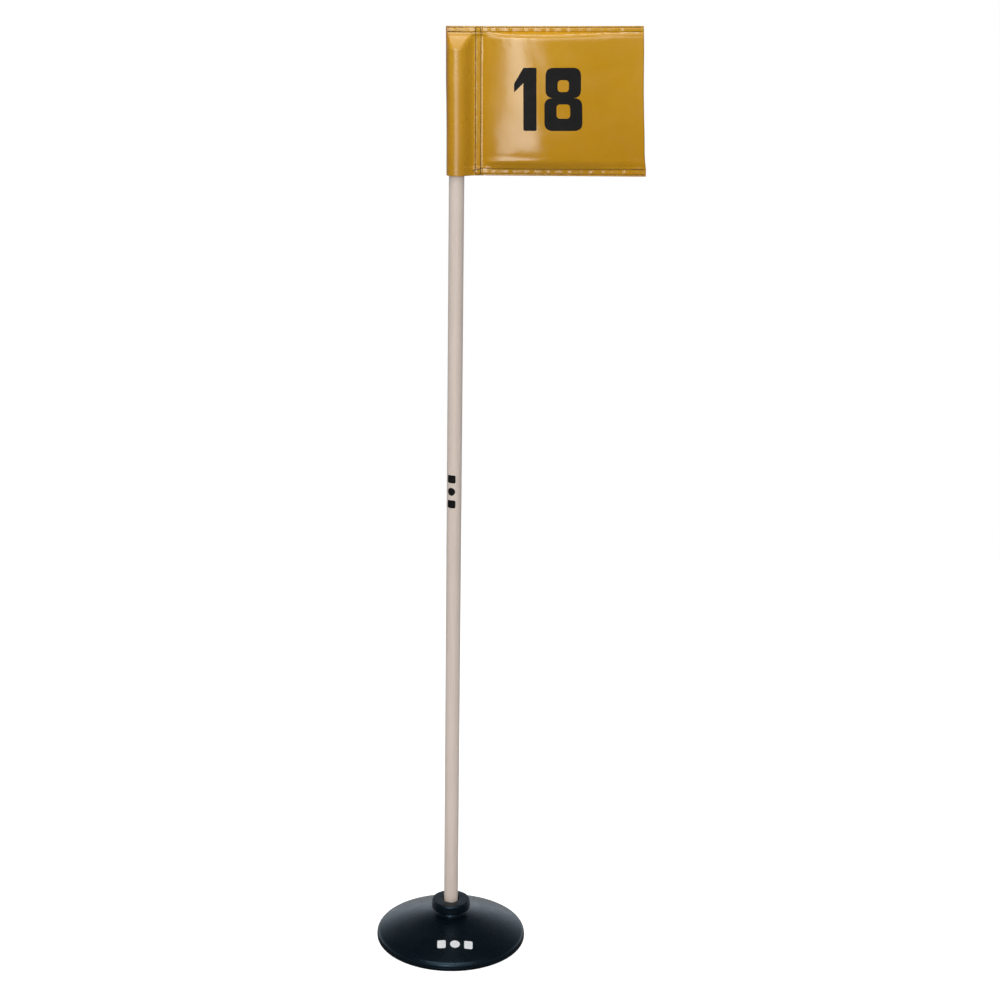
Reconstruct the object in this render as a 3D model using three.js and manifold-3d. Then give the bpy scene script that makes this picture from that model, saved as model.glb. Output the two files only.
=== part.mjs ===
// A free-standing golf flagstick for practice greens: a weighted rubber base, a hollow glass-fibre stick
// that drops into a socket in the base, and a vinyl flag whose stitched sleeve slips over the stick's tip.
// Millimetres, +Z up. The origin is on the ground under the middle of the base, the stick's axis is Z,
// and the flag flies along +X.
import * as THREE from "three";
import { ConvexGeometry } from "three/addons/geometries/ConvexGeometry.js";
import { mergeVertices } from "three/addons/utils/BufferGeometryUtils.js";
import Module from "manifold-3d";

// Driving dimensions
const TOTAL_HEIGHT = 1030; // ground to the flag's top edge
const STICK_DIAMETER = 16;
const BASE_DIAMETER = 170;
const FLAG_LENGTH = 203; // from the sleeve's fold to the fly edge
const FLAG_HEIGHT = 152;
const GAP = 0.3; // clearance kept between neighbouring pieces

// Base moulding
const BASE_R = BASE_DIAMETER / 2;
const RIM_LOWER_ROUND = 2.5;
const RIM_UPPER_ROUND = 5.6;
const RIM_ROUND_Z = 5; // height of the upper round's centre
const SLOPE_AT_RIM = THREE.MathUtils.degToRad(24);
const SLOPE_AT_NECK = THREE.MathUtils.degToRad(13);
const BEAD_R = 2.7; // section of the bead around the neck's foot
const BEAD_CENTRE = { r: 14.9, z: 32.1 };
const BEAD_START = THREE.MathUtils.degToRad(-50);
const NECK_R = 14.7;
const NECK_TOP = 43;
const NECK_CHAMFER = 0.8;
const BORE_R = 11.3;

// Collar pushed over the neck
const COLLAR_R = 22;
const COLLAR_BOTTOM = 36.3;
const COLLAR_TOP = 47;
const COLLAR_HOLE_R = 9.5;
const COLLAR_ROUND = 2;
const COLLAR_LIP_ROUND = 0.7;

// Pad, ballast plate and its screws, from the ground up
const PAD_R = 75;
const PAD_THICKNESS = 3;
const PAD_CHAMFER = 0.5;
const PLATE_R = 68;
const PLATE_BOTTOM = PAD_THICKNESS + GAP;
const PLATE_THICKNESS = 6;
const PLATE_CHAMFER = 0.8;
const PLATE_TOP = PLATE_BOTTOM + PLATE_THICKNESS;
const SCREW_COUNT = 3;
const SCREW_CIRCLE_R = 45;
const SCREW_R = 2;
const SCREW_HEAD_R = 3.9;
const SCREW_HEAD_BOTTOM = PLATE_BOTTOM + 0.1;
const SCREW_TOP = 17;
const SCREW_TIP_CHAMFER = 0.6;
const HEX_KEY_R = 1.5;

// Socket that the stick stands in
const SOCKET_R = 11;
const SOCKET_WALL = 2.7;
const SOCKET_BOTTOM = 4.7;
const SOCKET_FLOOR = 7.7;
const SOCKET_TOP = 37;
const SOCKET_MOUTH_CHAMFER = 0.8;
const FLANGE_R = 22;
const FLANGE_BOTTOM = PLATE_TOP + GAP;
const FLANGE_THICKNESS = 2.5;

// Stick and its two end fittings
const STICK_R = STICK_DIAMETER / 2;
const STICK_WALL = 2;
const STEM_R = STICK_R - STICK_WALL - GAP;
const STEM_LENGTH = 16;
const PLUG_CHAMFER = 1; // around the inner end of a plug's stem and the socket's foot
const FOOT_CHAMFER = 0.6;
const FOOT_BOTTOM = SOCKET_FLOOR + GAP;
const FOOT_HEAD = 2; // thickness of the foot plug's head
const TIP_TOP = TOTAL_HEIGHT - 15; // the sleeve's closed top rests just above it
const TIP_DOME = 6; // height of the tip cap's domed head
const TIP_SHOULDER = TIP_TOP - TIP_DOME;

// Flag
const FLAG_BOTTOM = TOTAL_HEIGHT - FLAG_HEIGHT;
const SLEEVE_FOLD_X = -10.5;
const FLY_X = SLEEVE_FOLD_X + FLAG_LENGTH;
const SLEEVE_DEPTH = 9.4; // half of the sleeve's outside thickness
const SLEEVE_SEAM_X = 18; // where the front and back of the sleeve meet
const VINYL = 0.8; // one layer, thicker than real vinyl
const PANEL_HALF = 0.9; // half of the double panel's thickness
const HEM_HALF = 1.2; // half of the thickness where hems and laps add layers
const HEM_HEIGHT = 7.5;
const SEAM_INSET = 1.6; // how much further the cavity's narrow end stands back than its walls
const LAP_START_X = SLEEVE_SEAM_X - 2;
const LAP_END_X = 26;
const TAPER_START = TIP_SHOULDER + 3; // the sleeve flattens from here up to its closed top
const TAPER_END = TOTAL_HEIGHT - HEM_HEIGHT;

// Twin-needle stitching, one needle thread on the front and one bobbin thread on the back of each row
const THREAD_WIDTH = 0.7;
const THREAD_DEPTH = 0.5;
const ROW_SPACING = 5.5;
const EDGE_ROW_INSET = 1.2; // from the flag's edge to the nearest row
const ROW_END_INSET = 0.5;
const SEAM_ROW_X = 19;

// Faces around each turned piece
const BASE_FACES = 60;
const COLLAR_FACES = 40;
const SOCKET_FACES = 36;
const STICK_FACES = 48;
const PLUG_FACES = 36;
const SCREW_FACES = 16;
const SLEEVE_FACES = 28;

// Colours, as the finished pieces look
const NAVY_BLACK = 0x14181f;
const SOCKET_BLACK = 0x101113;
const PLUG_BLACK = 0x202123;
const PAD_BLACK = 0x1b1c1e;
const STEEL_GREY = 0x8a8d90;
const ZINC_GREY = 0xb9bcc0;
const BEIGE = 0xcdbdaf;
const OCHRE = 0xc48e20;
const DARK_BROWN = 0x2a1a0c;

const wasm = await Module();
wasm.setup();

function toSolid(geometry) {
  const bare = new THREE.BufferGeometry();
  bare.setAttribute("position", geometry.getAttribute("position"));
  if (geometry.index) bare.setIndex(geometry.index);
  const merged = mergeVertices(bare, 1e-3);
  const mesh = new wasm.Mesh({
    numProp: 3,
    vertProperties: new Float32Array(merged.getAttribute("position").array),
    triVerts: new Uint32Array(merged.index.array),
  });
  return new wasm.Manifold(mesh);
}

function toGeometry(solid) {
  const { vertProperties, triVerts } = solid.getMesh();
  const geometry = new THREE.BufferGeometry();
  geometry.setAttribute("position", new THREE.BufferAttribute(vertProperties, 3));
  geometry.setIndex(new THREE.BufferAttribute(triVerts, 1));
  geometry.computeVertexNormals();
  return geometry;
}

function cut(geometry, tools) {
  return toGeometry(tools.reduce((left, tool) => left.subtract(toSolid(tool)), toSolid(geometry)));
}

function join(geometries) {
  return toGeometry(geometries.map(toSolid).reduce((whole, next) => whole.add(next)));
}

// Turns a path of (radius, height) points around the Z axis.
function turned(path, segments, arcSteps = 4) {
  return new THREE.LatheGeometry(path.getPoints(arcSteps), segments).rotateX(Math.PI / 2);
}

function profile(...points) {
  const path = new THREE.Path();
  path.moveTo(...points[0]);
  points.slice(1).forEach((point) => path.lineTo(...point));
  return path;
}

// A block from its lowest to its highest corner.
function block([x0, y0, z0], [x1, y1, z1]) {
  const geometry = new THREE.BoxGeometry(x1 - x0, y1 - y0, z1 - z0);
  return geometry.translate((x0 + x1) / 2, (y0 + y1) / 2, (z0 + z1) / 2);
}

function screwPlaces() {
  return Array.from({ length: SCREW_COUNT }, (_, i) => {
    const angle = Math.PI / 2 + (i * 2 * Math.PI) / SCREW_COUNT;
    return [SCREW_CIRCLE_R * Math.cos(angle), SCREW_CIRCLE_R * Math.sin(angle)];
  });
}

// A countersunk screw standing head down; extra grows it into the hole it sits in.
function screwShape(extra) {
  const cone = SCREW_HEAD_R - SCREW_R;
  const start = extra ? PLATE_BOTTOM - 1 : SCREW_HEAD_BOTTOM;
  return turned(
    profile(
      [0, start],
      [SCREW_HEAD_R + extra, start],
      [SCREW_HEAD_R + extra, SCREW_HEAD_BOTTOM + extra],
      [SCREW_R + extra, SCREW_HEAD_BOTTOM + extra + cone],
      [SCREW_R + extra, SCREW_TOP - SCREW_TIP_CHAMFER + extra],
      [SCREW_R - SCREW_TIP_CHAMFER + extra, SCREW_TOP + extra],
      [0, SCREW_TOP + extra],
    ),
    SCREW_FACES,
  );
}

function screwHoles() {
  return screwPlaces().map(([x, y]) => screwShape(GAP).translate(x, y, 0));
}

function baseDome() {
  const rimEnd = Math.PI / 2 - SLOPE_AT_RIM;
  const outer = {
    r: BASE_R - RIM_UPPER_ROUND + RIM_UPPER_ROUND * Math.cos(rimEnd),
    z: RIM_ROUND_Z + RIM_UPPER_ROUND * Math.sin(rimEnd),
  };
  const inner = {
    r: BEAD_CENTRE.r + BEAD_R * Math.cos(BEAD_START),
    z: BEAD_CENTRE.z + BEAD_R * Math.sin(BEAD_START),
  };
  // The dome's curve leaves both ends at their stated slopes; its handle is where the two tangents meet.
  const run = outer.r - inner.r;
  const rise = inner.z - outer.z;
  const reach =
    (rise - run * Math.tan(SLOPE_AT_NECK)) / (Math.tan(SLOPE_AT_RIM) - Math.tan(SLOPE_AT_NECK));
  const handle = { r: outer.r - reach, z: outer.z + reach * Math.tan(SLOPE_AT_RIM) };

  const path = new THREE.Path();
  path.moveTo(PAD_R + GAP, 0);
  path.absarc(BASE_R - RIM_LOWER_ROUND, RIM_LOWER_ROUND, RIM_LOWER_ROUND, -Math.PI / 2, 0);
  path.absarc(BASE_R - RIM_UPPER_ROUND, RIM_ROUND_Z, RIM_UPPER_ROUND, 0, rimEnd);
  path.quadraticCurveTo(handle.r, handle.z, inner.r, inner.z);
  path.absarc(BEAD_CENTRE.r, BEAD_CENTRE.z, BEAD_R, BEAD_START, Math.PI / 2);
  path.lineTo(NECK_R, BEAD_CENTRE.z + BEAD_R);
  path.lineTo(NECK_R, NECK_TOP - NECK_CHAMFER);
  path.lineTo(NECK_R - NECK_CHAMFER, NECK_TOP);
  path.lineTo(BORE_R, NECK_TOP);
  path.lineTo(BORE_R, FLANGE_BOTTOM + FLANGE_THICKNESS + GAP);
  path.lineTo(FLANGE_R + GAP, FLANGE_BOTTOM + FLANGE_THICKNESS + GAP);
  path.lineTo(FLANGE_R + GAP, PLATE_TOP + GAP);
  path.lineTo(PLATE_R + GAP, PLATE_TOP + GAP);
  path.lineTo(PLATE_R + GAP, PLATE_BOTTOM);
  path.lineTo(PAD_R + GAP, PLATE_BOTTOM);
  path.closePath();
  return cut(turned(path, BASE_FACES, 3), screwHoles());
}

function gripCollar() {
  const path = new THREE.Path();
  path.moveTo(NECK_R + GAP, COLLAR_BOTTOM);
  path.absarc(COLLAR_R - COLLAR_ROUND, COLLAR_BOTTOM + COLLAR_ROUND, COLLAR_ROUND, -Math.PI / 2, 0);
  path.absarc(COLLAR_R - COLLAR_ROUND, COLLAR_TOP - COLLAR_ROUND, COLLAR_ROUND, 0, Math.PI / 2);
  path.absarc(
    COLLAR_HOLE_R + COLLAR_LIP_ROUND,
    COLLAR_TOP - COLLAR_LIP_ROUND,
    COLLAR_LIP_ROUND,
    Math.PI / 2,
    Math.PI,
  );
  path.lineTo(COLLAR_HOLE_R, NECK_TOP + GAP);
  path.lineTo(NECK_R + GAP, NECK_TOP + GAP);
  path.closePath();
  return turned(path, COLLAR_FACES, 2);
}

function socketTube() {
  const inner = SOCKET_R - SOCKET_WALL;
  const flangeTop = FLANGE_BOTTOM + FLANGE_THICKNESS;
  return turned(
    profile(
      [0, SOCKET_BOTTOM],
      [SOCKET_R - PLUG_CHAMFER, SOCKET_BOTTOM],
      [SOCKET_R, SOCKET_BOTTOM + PLUG_CHAMFER],
      [SOCKET_R, FLANGE_BOTTOM],
      [FLANGE_R, FLANGE_BOTTOM],
      [FLANGE_R, flangeTop],
      [SOCKET_R, flangeTop],
      [SOCKET_R, SOCKET_TOP],
      [inner + SOCKET_MOUTH_CHAMFER, SOCKET_TOP],
      [inner, SOCKET_TOP - SOCKET_MOUTH_CHAMFER],
      [inner, SOCKET_FLOOR],
      [0, SOCKET_FLOOR],
    ),
    SOCKET_FACES,
  );
}

function ballastPlate() {
  const path = profile(
    [BORE_R, PLATE_BOTTOM],
    [PLATE_R - PLATE_CHAMFER, PLATE_BOTTOM],
    [PLATE_R, PLATE_BOTTOM + PLATE_CHAMFER],
    [PLATE_R, PLATE_TOP - PLATE_CHAMFER],
    [PLATE_R - PLATE_CHAMFER, PLATE_TOP],
    [BORE_R, PLATE_TOP],
  );
  path.closePath();
  return cut(turned(path, BASE_FACES), screwHoles());
}

function basePad() {
  return turned(
    profile(
      [0, 0],
      [PAD_R - PAD_CHAMFER, 0],
      [PAD_R, PAD_CHAMFER],
      [PAD_R, PAD_THICKNESS - PAD_CHAMFER],
      [PAD_R - PAD_CHAMFER, PAD_THICKNESS],
      [0, PAD_THICKNESS],
    ),
    BASE_FACES,
  );
}

function ballastScrew() {
  const keyway = new THREE.CylinderGeometry(HEX_KEY_R, HEX_KEY_R, 2 * HEX_KEY_R, 6).rotateX(Math.PI / 2);
  return cut(screwShape(0), [keyway.translate(0, 0, SCREW_HEAD_BOTTOM)]);
}

function stickTube() {
  const bottom = FOOT_BOTTOM + FOOT_HEAD + GAP;
  const top = TIP_SHOULDER - GAP;
  const path = profile(
    [STICK_R - STICK_WALL, bottom],
    [STICK_R, bottom],
    [STICK_R, top],
    [STICK_R - STICK_WALL, top],
  );
  path.closePath();
  return turned(path, STICK_FACES);
}

function footPlug() {
  const headTop = FOOT_BOTTOM + FOOT_HEAD;
  return turned(
    profile(
      [0, FOOT_BOTTOM],
      [STICK_R - FOOT_CHAMFER, FOOT_BOTTOM],
      [STICK_R, FOOT_BOTTOM + FOOT_CHAMFER],
      [STICK_R, headTop],
      [STEM_R, headTop],
      [STEM_R, headTop + STEM_LENGTH - PLUG_CHAMFER],
      [STEM_R - PLUG_CHAMFER, headTop + STEM_LENGTH],
      [0, headTop + STEM_LENGTH],
    ),
    PLUG_FACES,
  );
}

function tipCap() {
  const path = new THREE.Path();
  path.moveTo(0, TIP_SHOULDER - STEM_LENGTH);
  path.lineTo(STEM_R - PLUG_CHAMFER, TIP_SHOULDER - STEM_LENGTH);
  path.lineTo(STEM_R, TIP_SHOULDER - STEM_LENGTH + PLUG_CHAMFER);
  path.lineTo(STEM_R, TIP_SHOULDER);
  path.absellipse(0, TIP_SHOULDER, STICK_R, TIP_DOME, 0, Math.PI / 2);
  return turned(path, PLUG_FACES);
}

// The sleeve's drop-shaped section at one height: an ellipse around the stick, drawn out to the seam.
function sleeveSection(inset, z) {
  const across = -SLEEVE_FOLD_X - inset;
  const deep = SLEEVE_DEPTH - inset;
  const seam = SLEEVE_SEAM_X - SEAM_INSET * inset;
  const tangent = Math.acos(across / seam);
  const points = [new THREE.Vector3(seam, 0, z)];
  for (let i = 0; i <= SLEEVE_FACES; i += 1) {
    const angle = tangent + (i / SLEEVE_FACES) * 2 * (Math.PI - tangent);
    points.push(new THREE.Vector3(across * Math.cos(angle), deep * Math.sin(angle), z));
  }
  return points;
}

// The sleeve's hull from its lower end up to the line where front and back meet.
function sleeveHull(inset, bottom, taperStart, top, halfThickness) {
  const line = [SLEEVE_FOLD_X + inset, SLEEVE_SEAM_X - SEAM_INSET * inset].flatMap((x) => [
    new THREE.Vector3(x, -halfThickness, top),
    new THREE.Vector3(x, halfThickness, top),
  ]);
  return new ConvexGeometry([
    ...sleeveSection(inset, bottom),
    ...sleeveSection(inset, taperStart),
    ...line,
  ]);
}

function flagSheet() {
  const hemBottom = FLAG_BOTTOM + HEM_HEIGHT;
  const outside = join([
    sleeveHull(0, FLAG_BOTTOM, TAPER_START, TAPER_END, HEM_HALF),
    block([LAP_START_X, -PANEL_HALF, FLAG_BOTTOM], [FLY_X, PANEL_HALF, TOTAL_HEIGHT]),
    block([LAP_START_X, -HEM_HALF, FLAG_BOTTOM], [LAP_END_X, HEM_HALF, TOTAL_HEIGHT]),
    block([LAP_START_X, -HEM_HALF, FLAG_BOTTOM], [FLY_X, HEM_HALF, hemBottom]),
    block([SLEEVE_FOLD_X, -HEM_HALF, TAPER_END - 0.01], [FLY_X, HEM_HALF, TOTAL_HEIGHT]),
  ]);
  return cut(outside, [sleeveHull(VINYL, FLAG_BOTTOM - 1, TAPER_START - 1, TAPER_END - 1.5, 0.1)]);
}

// A run of stitching on the front (side -1) or the back (side 1); lift clears the rows that it crosses.
function threadRun([x0, z0], [x1, z1], side, lift) {
  const near = HEM_HALF + GAP + lift;
  const far = near + THREAD_DEPTH;
  const half = THREAD_WIDTH / 2;
  const upright = x0 === x1;
  return block(
    [upright ? x0 - half : x0, side < 0 ? -far : near, upright ? z0 : z0 - half],
    [upright ? x1 + half : x1, side < 0 ? -near : far, upright ? z1 : z1 + half],
  );
}

function threadRows() {
  const topEdge = TOTAL_HEIGHT - EDGE_ROW_INSET;
  const bottomEdge = FLAG_BOTTOM + EDGE_ROW_INSET;
  const crossing = THREAD_DEPTH + GAP;
  const right = FLY_X - ROW_END_INSET;
  const [low, high] = [FLAG_BOTTOM + ROW_END_INSET, TOTAL_HEIGHT - ROW_END_INSET];
  const horizontal = (start, z) => ({ from: [start, z], to: [right, z], lift: 0 });
  const upright = (x) => ({ from: [x, low], to: [x, high], lift: crossing });
  return {
    top_edge: horizontal(SLEEVE_FOLD_X + ROW_END_INSET, topEdge),
    top_hem: horizontal(SLEEVE_FOLD_X + ROW_END_INSET, topEdge - ROW_SPACING),
    sleeve_inner: upright(SEAM_ROW_X),
    sleeve_outer: upright(SEAM_ROW_X + ROW_SPACING),
    bottom_hem: horizontal(SEAM_ROW_X - 1, bottomEdge + ROW_SPACING),
    bottom_edge: horizontal(SEAM_ROW_X - 1, bottomEdge),
  };
}

const flagstick = new THREE.Group();

function addPiece(parent, name, geometry, color, roughness, metalness = 0) {
  const mesh = new THREE.Mesh(geometry, new THREE.MeshStandardMaterial({ color, roughness, metalness }));
  mesh.name = name;
  parent.add(mesh);
  return mesh;
}

function addGroup(name) {
  const group = new THREE.Group();
  group.name = name;
  flagstick.add(group);
  return group;
}

const base = addGroup("base");
addPiece(base, "base_dome", baseDome(), NAVY_BLACK, 0.45);
addPiece(base, "grip_collar", gripCollar(), NAVY_BLACK, 0.4);
addPiece(base, "socket_tube", socketTube(), SOCKET_BLACK, 0.5);
addPiece(base, "ballast_plate", ballastPlate(), STEEL_GREY, 0.45, 1);
addPiece(base, "base_pad", basePad(), PAD_BLACK, 0.9);
screwPlaces().forEach(([x, y], i) => {
  addPiece(base, `ballast_screw_${i + 1}`, ballastScrew(), ZINC_GREY, 0.35, 1).position.set(x, y, 0);
});

const stick = addGroup("stick");
addPiece(stick, "foot_plug", footPlug(), PLUG_BLACK, 0.55);
addPiece(stick, "stick_tube", stickTube(), BEIGE, 0.4);
addPiece(stick, "tip_cap", tipCap(), PLUG_BLACK, 0.5);

const flag = addGroup("flag");
addPiece(flag, "flag_sheet", flagSheet(), OCHRE, 0.2);
Object.entries(threadRows()).forEach(([row, { from, to, lift }]) => {
  addPiece(flag, `${row}_needle_thread`, threadRun(from, to, -1, lift), DARK_BROWN, 0.7);
  addPiece(flag, `${row}_bobbin_thread`, threadRun(from, to, 1, lift), DARK_BROWN, 0.7);
});

export default flagstick;
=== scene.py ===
import math

import bmesh
import bpy
import numpy as np
from mathutils import Matrix, Vector


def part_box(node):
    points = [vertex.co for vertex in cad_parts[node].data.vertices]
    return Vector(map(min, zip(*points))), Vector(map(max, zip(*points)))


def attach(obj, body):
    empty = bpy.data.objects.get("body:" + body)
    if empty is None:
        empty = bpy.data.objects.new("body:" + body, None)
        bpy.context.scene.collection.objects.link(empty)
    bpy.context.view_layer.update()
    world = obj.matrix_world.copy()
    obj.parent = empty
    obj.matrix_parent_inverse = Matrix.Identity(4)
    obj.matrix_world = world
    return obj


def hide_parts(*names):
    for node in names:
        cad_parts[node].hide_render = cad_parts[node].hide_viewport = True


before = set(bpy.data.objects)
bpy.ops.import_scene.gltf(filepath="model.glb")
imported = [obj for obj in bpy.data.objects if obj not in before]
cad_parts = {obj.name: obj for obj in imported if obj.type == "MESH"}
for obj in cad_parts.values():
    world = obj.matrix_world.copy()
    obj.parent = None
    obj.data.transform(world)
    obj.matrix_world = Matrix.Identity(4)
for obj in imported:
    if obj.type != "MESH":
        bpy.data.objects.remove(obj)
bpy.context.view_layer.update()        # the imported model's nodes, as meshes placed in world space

# Lengths are in millimetres until add_mesh() turns them into metres.
MM = 0.001


def node_box(node):
    """Lowest and highest corner of a CAD node, in millimetres."""
    low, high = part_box(node)
    return np.array(low) / MM, np.array(high) / MM


# -------------------- sizes from the frame

_, DOME_HIGH = node_box("base_dome")
COLLAR_LOW, COLLAR_HIGH = node_box("grip_collar")
SOCKET_LOW, SOCKET_HIGH = node_box("socket_tube")
PLATE_LOW, PLATE_HIGH = node_box("ballast_plate")
_, PAD_HIGH = node_box("base_pad")
FOOT_LOW, FOOT_HIGH = node_box("foot_plug")
STICK_LOW, STICK_HIGH = node_box("stick_tube")
TIP_LOW, TIP_HIGH = node_box("tip_cap")
FLAG_LOW, FLAG_HIGH = node_box("flag_sheet")
SEAM_LOW, SEAM_HIGH = node_box("sleeve_inner_needle_thread")
OUTER_LOW, OUTER_HIGH = node_box("sleeve_outer_needle_thread")

BASE_R = DOME_HIGH[0]
NECK_TOP = DOME_HIGH[2]
STICK_R = STICK_HIGH[0]
STICK_WALL = 2.0
GAP = 0.3

FLAG_BOTTOM = FLAG_LOW[2]
FLAG_TOP = FLAG_HIGH[2]
FLAG_MIDDLE = (FLAG_BOTTOM + FLAG_TOP) / 2
FOLD_X = FLAG_LOW[0]
FLY_X = FLAG_HIGH[0]
SEAM_X = (SEAM_LOW[0] + SEAM_HIGH[0]) / 2
SEAM_OUTER_X = (OUTER_LOW[0] + OUTER_HIGH[0]) / 2
SLEEVE_END_X = SEAM_X - 1.0  # where the sleeve's front and back meet


# -------------------- small maths

def smooth(t):
    """0 below 0, 1 above 1, and an S-curve between."""
    t = np.clip(t, 0.0, 1.0)
    return t * t * (3.0 - 2.0 * t)


def mix(a, b, t):
    return a + (b - a) * t


def ripple(t, wavelength, seed):
    """Irregular waves of about that wavelength, between about -1 and 1, the same on every run."""
    k = 2.0 * math.pi / wavelength
    waves = ((1.0, 1.7, 0.5), (0.62, 4.1, 0.3), (1.57, 2.3, 0.2))
    return sum(share * np.sin(k * f * t + phase * (seed + 1.0)) for f, phase, share in waves)


def arc(r, z, radius, start, end, steps):
    """Points of an arc in a (radius, height) profile, angles in degrees."""
    angles = np.radians(np.linspace(start, end, steps + 1))
    return [(r + radius * math.cos(a), z + radius * math.sin(a)) for a in angles]


def curve(start, handle, end, steps):
    """Points of a quadratic curve, without its first point."""
    made = []
    for t in np.linspace(0.0, 1.0, steps + 1)[1:]:
        a, b, c = (1 - t) ** 2, 2 * t * (1 - t), t * t
        made.append(tuple(a * s + b * h + c * e for s, h, e in zip(start, handle, end)))
    return made


def line(start, end, steps):
    """Points of a straight run, without its first point."""
    return [tuple(mix(np.array(start), np.array(end), t)) for t in np.linspace(0, 1, steps + 1)[1:]]


# -------------------- meshes

def link_object(name, data):
    """A new object in the scene that holds the data."""
    made = bpy.data.objects.new(name, data)
    bpy.context.scene.collection.objects.link(made)
    return made


def add_mesh(name, verts, faces, material, body, replaces=(), sharp=40.0):
    """A piece of the object, from points in millimetres."""
    mesh = bpy.data.meshes.new(name)
    mesh.from_pydata((np.asarray(verts) * MM).tolist(), [], faces)
    work = bmesh.new()
    work.from_mesh(mesh)
    bmesh.ops.recalc_face_normals(work, faces=work.faces)
    work.to_mesh(mesh)
    work.free()
    mesh.polygons.foreach_set("use_smooth", [True] * len(mesh.polygons))
    mesh.set_sharp_from_angle(angle=math.radians(sharp))
    mesh.materials.append(material)
    piece = link_object(name, mesh)
    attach(piece, body)
    if replaces:
        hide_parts(*replaces)
    return piece


def revolve(profile, segments=192):
    """Points and faces of a profile of (radius, height) turned round Z, closed on itself or on the axis."""
    on_axis = [r < 1e-6 for r, _ in profile]
    starts, verts = [], []
    for (r, z), axis in zip(profile, on_axis):
        starts.append(len(verts))
        turns = 1 if axis else segments
        for i in range(turns):
            a = 2 * math.pi * i / segments
            verts.append((r * math.cos(a), r * math.sin(a), z))
    faces = []
    count = len(profile)
    closed = not (on_axis[0] and on_axis[-1])
    for k in range(count if closed else count - 1):
        m = (k + 1) % count
        for i in range(segments):
            j = (i + 1) % segments
            a = [starts[k]] if on_axis[k] else [starts[k] + i, starts[k] + j]
            b = [starts[m]] if on_axis[m] else [starts[m] + j, starts[m] + i]
            if len(a) + len(b) > 2:
                faces.append(a + b)
    return verts, faces


def grid_faces(rows, columns, offset=0, flip=False):
    faces = []
    for i in range(rows - 1):
        for j in range(columns - 1):
            a = offset + i * columns + j
            quad = [a, a + 1, a + columns + 1, a + columns]
            faces.append(quad[::-1] if flip else quad)
    return faces


def append_part(verts, faces, part):
    """Adds a part's points and faces to the two lists."""
    faces += [[i + len(verts) for i in face] for face in part[1]]
    verts += part[0]


def thicken(points, thickness):
    """A closed solid from a grid of points: half the thickness is added to each side of it."""
    rows, columns, _ = points.shape
    normal = np.cross(np.gradient(points, axis=1), np.gradient(points, axis=0))
    normal /= np.linalg.norm(normal, axis=2, keepdims=True)
    verts = np.concatenate([
        (points + normal * thickness / 2).reshape(-1, 3),
        (points - normal * thickness / 2).reshape(-1, 3),
    ])
    half = rows * columns
    faces = grid_faces(rows, columns) + grid_faces(rows, columns, half, flip=True)
    rim = list(range(columns))
    rim += [i * columns + columns - 1 for i in range(1, rows)]
    rim += [(rows - 1) * columns + j for j in range(columns - 2, -1, -1)]
    rim += [i * columns for i in range(rows - 2, 0, -1)]
    for a, b in zip(rim, rim[1:] + rim[:1]):
        faces.append([b, a, a + half, b + half])
    return verts, faces


# -------------------- materials

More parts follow.
